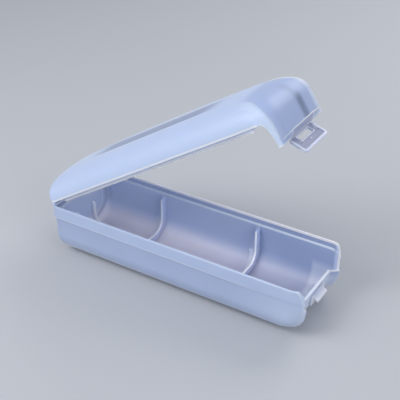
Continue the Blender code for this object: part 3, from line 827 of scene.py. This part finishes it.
def lid_colour(finish, x, y, z):
    """The lid in its closed place: a bright side with a painted highlight below the crease, painted
    shade over the nose with a darker painted band on its far half, the panel painted darker as the
    dark it reflects, and painted highlights round the panel, along the lower edges and on the cuts.
    """
    height = z - RIM_HEIGHT
    high = finish.rise(height, 0.001, 0.013)
    side = finish.blend(high, shade(208, 224, 252), shade(198, 214, 245))
    # A painted highlight on the side below the crease, and painted shade over the nose beyond it.
    forward = (x - CREASE_X) / CREASE_REACH
    upward = ((height - CREASE_LOW) / CREASE_RISE).or_more(0.0)
    crease = forward * forward + upward * upward
    ahead = finish.rise(x, CREASE_X - 0.002, CREASE_X + 0.005)
    glow = finish.strip(crease, 0.74, 0.97, 0.06) * ahead
    side = side.covered(glow * 0.6, 216, 232, 255)
    nose = finish.rise(crease, 0.97, 1.02) * ahead
    side = side.covered(nose, 176, 193, 229)
    # A darker band of painted shade on the nose's far half, with a fainter one above it.
    dark = finish.strip(y, 0.0026, 0.0080, 0.0021)
    dark = dark * finish.strip(height, -0.012, NOSE_SHADE_TOP, 0.0035)
    faint = finish.strip(y, 0.0015, 0.0060, 0.0025)
    faint = faint * finish.strip(height, 0.004, 0.0105, 0.0030)
    dark = (dark * 0.75 + faint * 0.30) * finish.rise(x, 0.078, 0.084)
    side = side.covered(dark, 98, 113, 150)
    # A painted highlight along the nose's far side.
    pale = finish.rise(y, 0.0150, 0.0175) * nose
    side = side.covered(pale * 0.6, 232, 240, 255)
    # The flat panel painted darker as the dark it reflects, with a painted highlight round it.
    ends = finish.rise(x, -0.062, -0.044) * finish.fall(x, 0.028, 0.050)
    panel = finish.rise(height, LID_HEIGHT - 0.00025, LID_HEIGHT - 0.0001) * ends
    dark = panel * finish.fall(abs(y), 0.0072, 0.0092)
    side = side.covered(dark, 128, 144, 184)
    line = panel * finish.strip(abs(y), PANEL_HIGHLIGHT_LOW, PANEL_HIGHLIGHT_HIGH, 0.0004)
    side = side.covered(line * 0.7, 236, 244, 255)
    # Painted highlights along the lid's lower edge and the lip's lower edge.
    edge = finish.fall(height, 0.0012, 0.0018)
    edge = edge * finish.fall(x, 0.078, 0.080)
    side = side.covered(edge, 246, 249, 255)
    beside = finish.rise(abs(y), TAB_HALF_WIDTH, TAB_HALF_WIDTH + 0.0004)
    lip = finish.fall(height, 0.0014 - LIP_DROP, 0.0019 - LIP_DROP) * beside
    side = side.covered(lip, 236, 246, 255)
    root = finish.fall(height, FOLD_MIDDLE - 0.0004, FOLD_MIDDLE) * (1 - beside)
    side = side.covered(root, 176, 182, 214)
    border = finish.strip(abs(y), TAB_HALF_WIDTH - 0.0014, TAB_HALF_WIDTH, CRISP)
    side = side.covered(border * root, 222, 228, 250)
    # Painted highlights on the cuts along the parting line.
    share = parting_share(finish, x, z, PARTING_GAP)
    past_lip = finish.rise(abs(y), LIP_HALF_WIDTH - 0.001, LIP_HALF_WIDTH)
    swept = past_lip * finish.strip(share, 0.9, 1.05, 0.02)
    side = side.covered(swept, 236, 246, 255)
    parting = SWEEP_LOW + PARTING_GAP
    flat = past_lip * finish.fall(z, parting + 0.0006, parting + 0.0011)
    return side.covered(flat, 236, 246, 255)


def back_to_closed():
    """The turn and shift that lead from the open lid back to its closed place."""
    turn = OPEN_ANGLE
    x = HINGE_X - (math.cos(turn) * HINGE_X + math.sin(turn) * HINGE_Z)
    z = HINGE_Z - (math.cos(turn) * HINGE_Z - math.sin(turn) * HINGE_X)
    return turn, (x, 0.0, z)


moulded("milky_lid", lid_colour, *back_to_closed()).wear(lid)
lid_sides = (
    ("far_edge", LIP_HALF_WIDTH, PAST_SIDE),
    ("near_edge", -PAST_SIDE, -LIP_HALF_WIDTH),
)
for name, low_y, high_y in lid_sides:
    block = parting_block(name, PARTING_GAP, RIM_HEIGHT - FAR_OUT, low_y, high_y)
    cut_away(lid, block, BRIGHT_EDGE)
lip_side = LIP_HALF_WIDTH + SEAT_GAP
recess_x = TRAY_FRONT - BAND_PROUD - RECESS_DEPTH
seat = RIM_HEIGHT + PARTING_GAP
arch_side = TAB_HALF_WIDTH + SEAT_GAP
arch_top = RIM_HEIGHT - LIP_DROP + ARCH_RISE
lid_clearings = (
    ("middle", (PAST_REAR, -lip_side, PAST_LOW), (recess_x, lip_side, seat)),
    ("arch", (ARCH_REAR, -arch_side, PAST_LOW), (PAST_FRONT, arch_side, arch_top)),
)
for name, low, high in lid_clearings:
    cut_away(lid, clearing_block(name, low, high), BRIGHT_EDGE)
bpy.ops.object.shade_smooth_by_angle(angle=SMOOTH_ANGLE)
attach(lid, "lid")
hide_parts("lid_shell")


def crease_points(side):
    """Points on the lid's skin where its side folds over into the nose."""
    places = []
    for step in range(-CREASE_LEAD, CREASE_STEPS + 1):
        angle = math.pi / 2 * step / CREASE_STEPS
        forward = CREASE_X + CREASE_REACH * math.sin(angle)
        places.append((forward, CREASE_LOW + CREASE_RISE * math.cos(angle)))
    for step in range(1, CREASE_TAIL + 1):
        share = step / CREASE_TAIL
        places.append((forward, CREASE_LOW + (CREASE_END - CREASE_LOW) * share))
    points = []
    for x, height in places:
        start = Vector((x, side * FAR_OUT, RIM_HEIGHT + height))
        hit, where, normal, _ = lid.ray_cast(start, Vector((0, -side, 0)))
        if hit:
            points.append(where + normal * (CREASE_PROUD - CREASE_RADIUS))
    return points


def bead_along(name, points, radius, fading):
    """A round bead along some points, which fades out over a few of them at each end."""
    bpy.ops.mesh.primitive_plane_add(size=1, location=points[0])
    named(name)
    start_shaping()
    pick_all()
    bpy.ops.mesh.merge(type="CENTER")
    for before, after in zip(points, points[1:]):
        draw_out(*(after - before))
    end_shaping()
    bpy.ops.object.convert(target="CURVE")
    bead = bpy.context.object
    bead.data.bevel_depth = radius
    bead.data.bevel_resolution = 3
    bead.data.use_fill_caps = True
    count = len(bead.data.splines[0].points)
    for number, point in enumerate(bead.data.splines[0].points):
        from_end = min(number, count - 1 - number)
        point.radius = min(0.1 + from_end / fading, 1)
    bpy.ops.object.convert(target="MESH")
    bead = bpy.context.object
    start_shaping()
    pick_all()
    bpy.ops.mesh.remove_doubles(threshold=TINY)
    pick_all()
    bpy.ops.mesh.fill_holes(sides=0)
    face_outwards()
    bpy.ops.object.shade_smooth_by_angle(angle=math.radians(60))
    return bead


def fold_points():
    """Points across the lip's front, where the tab's root folds out of it."""
    points = []
    for step in range(-FOLD_STEPS, FOLD_STEPS + 1):
        share = step / FOLD_STEPS
        height = FOLD_MIDDLE + (FOLD_END - FOLD_MIDDLE) * share ** 4
        start = Vector((FAR_OUT, share * FOLD_END_Y, RIM_HEIGHT + height))
        hit, where, normal, _ = lid.ray_cast(start, Vector((-1, 0, 0)))
        if hit:
            points.append(where + normal * (CREASE_PROUD - FOLD_RADIUS))
    return points


beads = (
    ("nose_crease_near", crease_points(-1), CREASE_RADIUS, 6),
    ("nose_crease_far", crease_points(1), CREASE_RADIUS, 6),
    ("lip_fold", fold_points(), FOLD_RADIUS, 2),
)
for name, points, radius, fading in beads:
    bead = bead_along(name, points, radius, fading)
    open_up(bead)
    # The beads take the cut edges' colours, as painted highlights along the crease and the fold.
    moulded("milky_" + name, edge_colour, *back_to_closed()).wear(bead)
    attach(bead, "lid")
open_up(lid)


# --------------------------------------------------------------- the dividers
# Two low crescent ribs, moulded across the trough, keep the cells apart. Each
# follows the walls and the floor, and its free edge catches the light.

DIVIDER_THICKNESS = 0.0014
DIVIDER_HEIGHT = 0.0045
DIVIDER_TOP = 0.0287
DIVIDER_HALF_WIDTH = 0.0256
DIVIDER_FOOT = 0.0121
DIVIDER_CUTS = 20
DIVIDER_DIP = 0.0008
DIVIDER_FLARE = 0.003
DIVIDER_MIDDLE = 0.02
DIVIDER_FLAT_Y = 0.005
DIVIDER_END = 0.001
EDGE_ROUNDING = 0.00025


def upright_plate(name, x, low, high, corner, cuts, lower_only=False):
    """A flat upright plate across the box, between two corners in y and z, rounded."""
    centre = (x, (low[0] + high[0]) / 2, (low[1] + high[1]) / 2)
    bpy.ops.mesh.primitive_plane_add(size=1, location=centre, rotation=(0, math.pi / 2, 0))
    plate = named(name)
    start_shaping()
    pick_all()
    bpy.ops.transform.resize(value=(1, high[0] - low[0], high[1] - low[1]), center_override=centre)
    pick(lambda vert: not lower_only or vert.co.z < centre[2])
    bpy.ops.mesh.bevel(offset=corner, segments=cuts, affect="VERTICES")
    return plate


def thicken(depth):
    """Gives the flat plate in hand its thickness along x and ends the shaping."""
    pick_all()
    draw_out(depth, 0, 0)
    face_outwards()


divider = upright_plate(
    "divider_rear_rib",
    REAR_DIVIDER_X - DIVIDER_THICKNESS / 2,
    (-DIVIDER_HALF_WIDTH, TRAY_FLOOR + SEAT_GAP),
    (DIVIDER_HALF_WIDTH, DIVIDER_TOP + 2 * DIVIDER_HEIGHT),
    DIVIDER_FOOT,
    DIVIDER_CUTS,
    lower_only=True,
)
pick_all()
bpy.ops.mesh.inset(thickness=DIVIDER_HEIGHT)
bpy.ops.mesh.delete(type="FACE")
pick_all()
bpy.ops.mesh.bisect(plane_co=(0, 0, DIVIDER_TOP), plane_no=(0, 0, 1), clear_outer=True)
dipped = DIVIDER_HALF_WIDTH - DIVIDER_FLARE
pick(lambda vert: vert.co.z > DIVIDER_TOP - NEAR and abs(vert.co.y) < dipped)
bpy.ops.transform.translate(value=(0, 0, -DIVIDER_DIP))
thicken(DIVIDER_THICKNESS)
round_edges(divider, EDGE_ROUNDING, 2, 40)


def copy_of(piece, name, move):
    """A copy of a piece with a mesh of its own, set beside it."""
    take(piece)
    bpy.ops.object.duplicate(linked=False)
    bpy.ops.transform.translate(value=move)
    return named(name)


def rib_web_colour(finish, x, y, z):
    """The sides of a rib, much as shaded as the wall behind them."""
    return finish.blend(finish.rise(z, 0.004, 0.026), shade(196, 202, 232), shade(182, 197, 232))


def rib_edge_colour(finish, x, y, z):
    """The free edge of a rib, which gathers light, and more so low down."""
    return finish.blend(finish.rise(z, 0.004, 0.026), shade(248, 250, 255), shade(236, 245, 255))


def bright_edge(piece, test):
    """Gives the free edge of a rib its own finish, painted brighter as a highlight."""
    RIB_WEB.wear(piece)
    RIB_EDGE.wear_where(piece, test)


def on_free_edge(face):
    """Whether a face of a divider looks into the trough, away from walls and floor."""
    centre = face.calc_center_median()
    upwards = face.normal.z if centre.z < DIVIDER_MIDDLE else 0
    beside = abs(centre.y) > DIVIDER_FLAT_Y
    inwards = -face.normal.y * math.copysign(1, centre.y) if beside else 0
    below_top = centre.z < DIVIDER_TOP - DIVIDER_END
    return abs(face.normal.x) < 0.9 and upwards + inwards > 0.3 and below_top


RIB_WEB = moulded("milky_rib_web", rib_web_colour, clear=0.1)
RIB_EDGE = moulded("milky_rib_edge", rib_edge_colour, clear=0.1)
bright_edge(divider, on_free_edge)
front_divider = copy_of(divider, "divider_front_rib", (DIVIDER_SPACING, 0, 0))
for piece, node in ((divider, "divider_rear"), (front_divider, "divider_front")):
    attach(piece, "tray")
    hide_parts(node)


# -------------------------------------------------------------- the rear ribs
# Two short upright ribs on the inside of the rear wall press on the cell end.
# They stand on the floor and follow the curve of the foot.

RIB_X = -0.0848
RIB_BEND_Z = 0.0138
RIB_DEPTH = 0.0022
RIB_TOP = 0.0180
RIB_WIDTH = 0.0016
RIB_Y = 0.00825
RIB_REACH = 0.0046
RIB_DROP = 0.0121
RIB_VERTICES = 48

rib_centre = (RIB_X + RIB_REACH, RIB_Y - RIB_WIDTH / 2, RIB_BEND_Z)
rib = oval_quarter("rear_rib_far_side", rib_centre, RIB_REACH, RIB_DROP, RIB_VERTICES, -1)
pick(lambda vert: vert.co.z > rib_centre[2] - TINY)
draw_out(0, 0, RIB_TOP + RIB_DEPTH / 2 - RIB_BEND_Z)
pick_all()
draw_out(RIB_DEPTH, 0, 0)
inner_start = (RIB_X + RIB_DEPTH, 0, RIB_BEND_Z)
mesh = bmesh.from_edit_mesh(rib.data)
new_side = {tuple(vert.co) for vert in mesh.verts if vert.select}
pick(lambda vert: tuple(vert.co) in new_side and vert.co.z < RIB_BEND_Z)
narrowing = (1 - RIB_DEPTH / 2 / RIB_REACH, 1, 1 - RIB_DEPTH / RIB_DROP)
bpy.ops.transform.resize(value=narrowing, center_override=inner_start)
pick(lambda vert: vert.co.z > RIB_TOP and vert.co.x > RIB_X + RIB_DEPTH / 2)
bpy.ops.transform.translate(value=(0, 0, -RIB_DEPTH / 2))
pick_all()
draw_out(0, RIB_WIDTH, 0)
face_outwards()
round_edges(rib, EDGE_ROUNDING, 2, 40)
bright_edge(rib, lambda face: face.normal.x > -0.5)
near_rib = copy_of(rib, "rear_rib_near_side", (0, -2 * RIB_Y, 0))
for piece, node in ((rib, "rear_rib_far"), (near_rib, "rear_rib_near")):
    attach(piece, "tray")
    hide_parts(node)


# ------------------------------------------------------------------ the catch
# A pad on the wall of the recess with a wedge-shaped nub. The tab springs over
# the nub. It is thick for this moulding, and so it looks the whitest.

CATCH_BACK = 0.0807
CATCH_FACE = 0.0810
CATCH_HALF_WIDTH = 0.0085
CATCH_LOW = 0.0130
CATCH_HIGH = 0.0192
NUB_TIP = 0.0840
NUB_HALF_WIDTH = 0.0061
NUB_LOW = 0.0149
NUB_HIGH = 0.0173
NUB_TIP_HIGH = 0.0159
CATCH_ROWS = 6
LATCH_ROUNDING = 0.00012

catch = clearing_block(
    "catch_pad",
    (CATCH_BACK, -CATCH_HALF_WIDTH, CATCH_LOW),
    (CATCH_FACE, CATCH_HALF_WIDTH, CATCH_HIGH),
)
start_shaping()
rows = range(CATCH_ROWS)
levels = [CATCH_LOW + (CATCH_HIGH - CATCH_LOW) * row / CATCH_ROWS for row in rows]
for level in levels[1:]:
    pick_all()
    bpy.ops.mesh.bisect(plane_co=(0, 0, level), plane_no=(0, 0, 1))
for level in levels:
    bend = 1 - math.sqrt(1 - max(1 - level / FRONT_FOOT_RADIUS, 0) ** 2)
    pick(lambda vert: abs(vert.co.z - level) < NEAR and vert.co.x < CATCH_FACE - NEAR)
    bpy.ops.transform.translate(value=(-FRONT_FOOT_REACH * bend, 0, 0))
end_shaping()
nub_low = (CATCH_BACK, -NUB_HALF_WIDTH, NUB_LOW)
nub = clearing_block("nub", nub_low, (NUB_TIP, NUB_HALF_WIDTH, NUB_HIGH))
start_shaping()
pick(lambda vert: vert.co.x > NUB_TIP - NEAR and vert.co.z > NUB_HIGH - NEAR)
bpy.ops.transform.translate(value=(0, 0, NUB_TIP_HIGH - NUB_HIGH))
end_shaping()
take(catch)
join = catch.modifiers.new("join", "BOOLEAN")
join.operation = "UNION"
join.solver = "EXACT"
join.object = nub
bpy.ops.object.modifier_apply(modifier="join")
bpy.data.objects.remove(nub, do_unlink=True)
round_edges(catch, LATCH_ROUNDING, 2, 50)


def catch_colour(finish, x, y, z):
    """Nearly white where the nub is thickest, with painted highlights at its ends."""
    outwards = finish.rise(x, CATCH_FACE, NUB_TIP)
    body = finish.blend(outwards, shade(216, 222, 244), shade(238, 240, 253))
    ends = finish.rise(abs(y), NUB_HALF_WIDTH - 0.0012, NUB_HALF_WIDTH - 0.0003)
    return body.covered(ends * 0.6, 246, 248, 255)


moulded("milky_catch", catch_colour).wear(catch)
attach(catch, "tray")
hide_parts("catch")


# -------------------------------------------------------------------- the tab
# The latch tab hangs from the lip on a thin root. It is a slotted plate with a
# raised border and a small round gate mark, and it stands sprung outwards.

TAB_FACE = 0.0826
TAB_BACK = 0.0814
TAB_AXIS_Z = 0.0193
TAB_HIGH = 0.0191
TAB_LOW = 0.0081
TAB_CORNER = 0.0022
TAB_BORDER = 0.0016
TAB_DISH = 0.0003
SLOT_HALF_WIDTH = 0.0067
SLOT_HIGH = 0.0179
SLOT_LOW = 0.0143
SLOT_CORNER = 0.0010
SPRUNG_ANGLE = math.radians(38)
GATE_Z = 0.0122
GATE_RADIUS = 0.0006
GATE_HEIGHT = 0.0006
GATE_ROUNDING = 0.00015
SLOT_CUT_BACK = 0.002
SLOT_CUT_DEPTH = 0.006
DISH_CUT_DEPTH = 0.003

tab = upright_plate(
    "latch_tab_plate",
    TAB_BACK,
    (-TAB_HALF_WIDTH, TAB_LOW),
    (TAB_HALF_WIDTH, TAB_HIGH),
    TAB_CORNER,
    8,
)
thicken(TAB_FACE - TAB_BACK)
slot = upright_plate(
    "slot",
    TAB_BACK - SLOT_CUT_BACK,
    (-SLOT_HALF_WIDTH, SLOT_LOW),
    (SLOT_HALF_WIDTH, SLOT_HIGH),
    SLOT_CORNER,
    5,
)
thicken(SLOT_CUT_DEPTH)
cut_away(tab, slot)
dish = upright_plate(
    "dish",
    TAB_FACE - TAB_DISH,
    (-TAB_HALF_WIDTH + TAB_BORDER, TAB_LOW + TAB_BORDER),
    (TAB_HALF_WIDTH - TAB_BORDER, SLOT_LOW - TAB_BORDER / 2),
    TAB_CORNER - TAB_BORDER / 2,
    6,
)
thicken(DISH_CUT_DEPTH)
cut_away(tab, dish)
round_edges(tab, LATCH_ROUNDING, 2, 50)
bpy.ops.mesh.primitive_cylinder_add(
    radius=GATE_RADIUS,
    depth=GATE_HEIGHT,
    vertices=20,
    location=(TAB_FACE - TAB_DISH, 0, GATE_Z),
    rotation=(0, math.pi / 2, 0),
)
gate = named("gate_mark")
round_edges(gate, GATE_ROUNDING, 3, 50)
take(tab)
gate.select_set(True)
bpy.ops.object.join()


def tab_colour(finish, x, y, z):
    """A clearer plate inside a milkier border, with a white gate mark."""
    inner_y = TAB_HALF_WIDTH - TAB_BORDER
    across = finish.rise(abs(y), inner_y - 0.0003, inner_y + CRISP)
    low = finish.fall(z, TAB_LOW + TAB_BORDER - 0.0003, TAB_LOW + TAB_BORDER + 0.0002)
    border = across.or_more(low)
    root = finish.rise(z, SLOT_HIGH + 0.0002, TAB_HIGH)
    border = border.or_more(root * 0.7)
    beside = finish.fall(abs(y), SLOT_HALF_WIDTH + 0.0004, SLOT_HALF_WIDTH + 0.0009)
    around = finish.strip(z, SLOT_LOW - 0.0007, SLOT_HIGH + 0.0007, 0.0003) * beside
    border = border.or_more(around * 0.8)
    colour = finish.blend(border, shade(140, 147, 180), shade(222, 228, 250))
    near = finish.fall(abs(y), 0.0005, 0.0008) * finish.fall(abs(z - GATE_Z), 0.0005, 0.0008)
    return colour.covered(near, 240, 240, 255)


def sprung_back():
    """The turn and shift that lead from the sprung tab on the open lid to its closed place."""
    turn = OPEN_ANGLE + SPRUNG_ANGLE
    hinge = Vector((HINGE_X, 0, HINGE_Z))
    axis = Vector((TAB_FACE, 0, TAB_AXIS_Z))
    opened = hinge + Matrix.Rotation(-OPEN_ANGLE, 3, "Y") @ (axis - hinge)
    shift = axis - Matrix.Rotation(turn, 3, "Y") @ opened
    return turn, tuple(shift)


turn_up(tab, SPRUNG_ANGLE, (TAB_FACE, 0, TAB_AXIS_Z))
open_up(tab)
moulded("milky_tab", tab_colour, *sprung_back()).wear(tab)
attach(tab, "tab")
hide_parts("latch_tab")


# ------------------------------------------------------------ the lid's rails
# A thin rail along each long side inside the lid's edge. It drops into the
# ledge of the tray when the box shuts, and shows as a second line below the lid.

RAIL_END = 0.0765
RAIL_OUTER = 0.0265
RAIL_INNER = 0.0255
RAIL_LOW = 0.0320
RAIL_HIGH = 0.0362
RAIL_END_ROUNDING = 0.0010
RAIL_EDGE_ROUNDING = 0.0002

rail_low = (-RAIL_END, RAIL_INNER, RAIL_LOW)
rail = clearing_block("lid_rail_far", rail_low, (RAIL_END, RAIL_OUTER, RAIL_HIGH))
start_shaping()
at_end = lambda vert: abs(vert.co.x) > RAIL_END - NEAR
at_foot = lambda vert: vert.co.z < RAIL_LOW + NEAR
pick(lambda edge: all(at_end(vert) and at_foot(vert) for vert in edge.verts), "edges")
bpy.ops.mesh.bevel(offset=RAIL_END_ROUNDING, segments=5)
end_shaping()
round_edges(rail, RAIL_EDGE_ROUNDING, 2, 60)


def rail_colour(finish, x, y, z):
    """Clear above, with a painted highlight along the lower edge."""
    low = finish.fall(z, RAIL_LOW + 0.0011, RAIL_LOW + 0.0017)
    return finish.blend(low, shade(206, 220, 248), shade(246, 249, 255))


open_up(rail)
moulded("milky_rail", rail_colour, *back_to_closed()).wear(rail)
near_rail = copy_of(rail, "lid_rail_near", (0, -RAIL_OUTER - RAIL_INNER, 0))
for piece, node in ((rail, "lid_tongue_far"), (near_rail, "lid_tongue_near")):
    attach(piece, "lid")
    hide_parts(node)


# ------------------------------------------------------------------ the hinge
# A living hinge behind the rear wall: a flange on the tray, one on the lid, and
# a thin round web between them, moulded in one and whitened where it bends.

HINGE_HALF_WIDTH = 0.0252
HINGE_WEB_RADIUS = 0.0004
FLANGE_WALL_X = -0.0878
FLANGE_EDGE_X = -0.0886
TRAY_FLANGE = (0.0268, 0.0289, 0.0338)
LID_FLANGE = (0.0376, 0.0367, 0.0346)
HINGE_ROUNDING = 0.00018


def hinge_flange(name, levels):
    """A thin flange, as thick as its gap to the wall and sloped off at its far edge."""
    far, tip, level = levels
    low = (FLANGE_EDGE_X, -HINGE_HALF_WIDTH, min(far, level))
    high = (FLANGE_WALL_X, HINGE_HALF_WIDTH, max(far, level))
    flange = clearing_block(name, low, high)
    start_shaping()
    pick(lambda vert: vert.co.x < FLANGE_EDGE_X + NEAR and abs(vert.co.z - far) < NEAR)
    bpy.ops.transform.translate(value=(0, 0, tip - far))
    end_shaping()
    round_edges(flange, HINGE_ROUNDING, 3, 20)
    return flange


def hinge_colour(finish, x, y, z):
    """Milky, and whitened near the line where the plastic bends."""
    bend = finish.fall(abs(z - HINGE_Z), 0.0003, 0.0016)
    ends = finish.rise(abs(y), HINGE_HALF_WIDTH - 0.0010, HINGE_HALF_WIDTH - 0.0002)
    body = finish.blend(ends * 0.5, shade(184, 198, 231), shade(226, 237, 255))
    return body.covered(bend * 0.8, 236, 243, 255)


tray_flange = hinge_flange("tray_side_flange", TRAY_FLANGE)
moulded("milky_tray_flange", hinge_colour).wear(tray_flange)
lid_flange = hinge_flange("lid_side_flange", LID_FLANGE)
moulded("milky_lid_flange", hinge_colour, *back_to_closed()).wear(lid_flange)
open_up(lid_flange)
bpy.ops.mesh.primitive_cylinder_add(
    radius=HINGE_WEB_RADIUS,
    depth=2 * HINGE_HALF_WIDTH,
    vertices=24,
    location=(HINGE_X, 0, HINGE_Z),
    rotation=(math.pi / 2, 0, 0),
)
web = named("hinge_web")
round_edges(web, HINGE_ROUNDING, 3, 40)
moulded("milky_web", hinge_colour).wear(web)
hinge_pieces = (
    (tray_flange, "tray", "hinge_flange_tray"),
    (web, "tray", "hinge_strap"),
    (lid_flange, "lid", "hinge_flange_lid"),
)
for piece, body, node in hinge_pieces:
    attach(piece, body)
    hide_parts(node)


# ----------------------------------------------------------- floor and lights
# A plain pale floor under soft studio lamps: a large key from the left, a
# weaker fill from the right, one from behind and an even pale surround.

FLOOR_SIZE = 6
FLOOR_GAP = 0.0002
SURROUND = 0.62

bpy.ops.mesh.primitive_plane_add(size=FLOOR_SIZE, location=(0, 0, -FLOOR_GAP))
floor = named("floor")
ground = Finish("pale_floor", Specular_IOR_Level=0.2)
here, x, y, z = ground.place()
mottle = ground.clouds(here, 0.4)
ground.put(ground.shader, {
    "Base Color": ground.blend(mottle * 0.3, shade(170, 173, 179), shade(180, 183, 188)),
    "Roughness": 0.6 + mottle * 0.1,
})
ground.wear(floor)


def soft_lamp(name, place, aim, size, power, colour):
    """A square soft lamp that points at a place on the box."""
    bpy.ops.object.light_add(type="AREA", location=place)
    lamp = bpy.context.object
    lamp.name = name
    direction = Vector(aim) - Vector(place)
    lamp.rotation_euler = direction.to_track_quat("-Z", "Y").to_euler()
    lamp.data.size = size
    lamp.data.energy = power
    lamp.data.color = colour


soft_lamp("key_lamp", (-0.35, -0.45, 0.55), (0, 0, 0.04), 0.45, 4.0, (1.0, 1.0, 1.0))
soft_lamp("fill_lamp", (0.6, -0.25, 0.35), (0, 0, 0.04), 0.5, 1.6, (0.95, 0.97, 1.0))
soft_lamp("back_lamp", (0.1, 0.6, 0.5), (0, 0, 0.05), 0.5, 2.2, (1.0, 1.0, 1.0))
world = bpy.data.worlds.new("surround")
bpy.context.scene.world = world
world.use_nodes = True
world.node_tree.nodes["Background"].inputs["Color"].default_value = shade(240, 243, 250)
world.node_tree.nodes["Background"].inputs["Strength"].default_value = SURROUND
bpy.context.scene.view_settings.view_transform = "Standard"
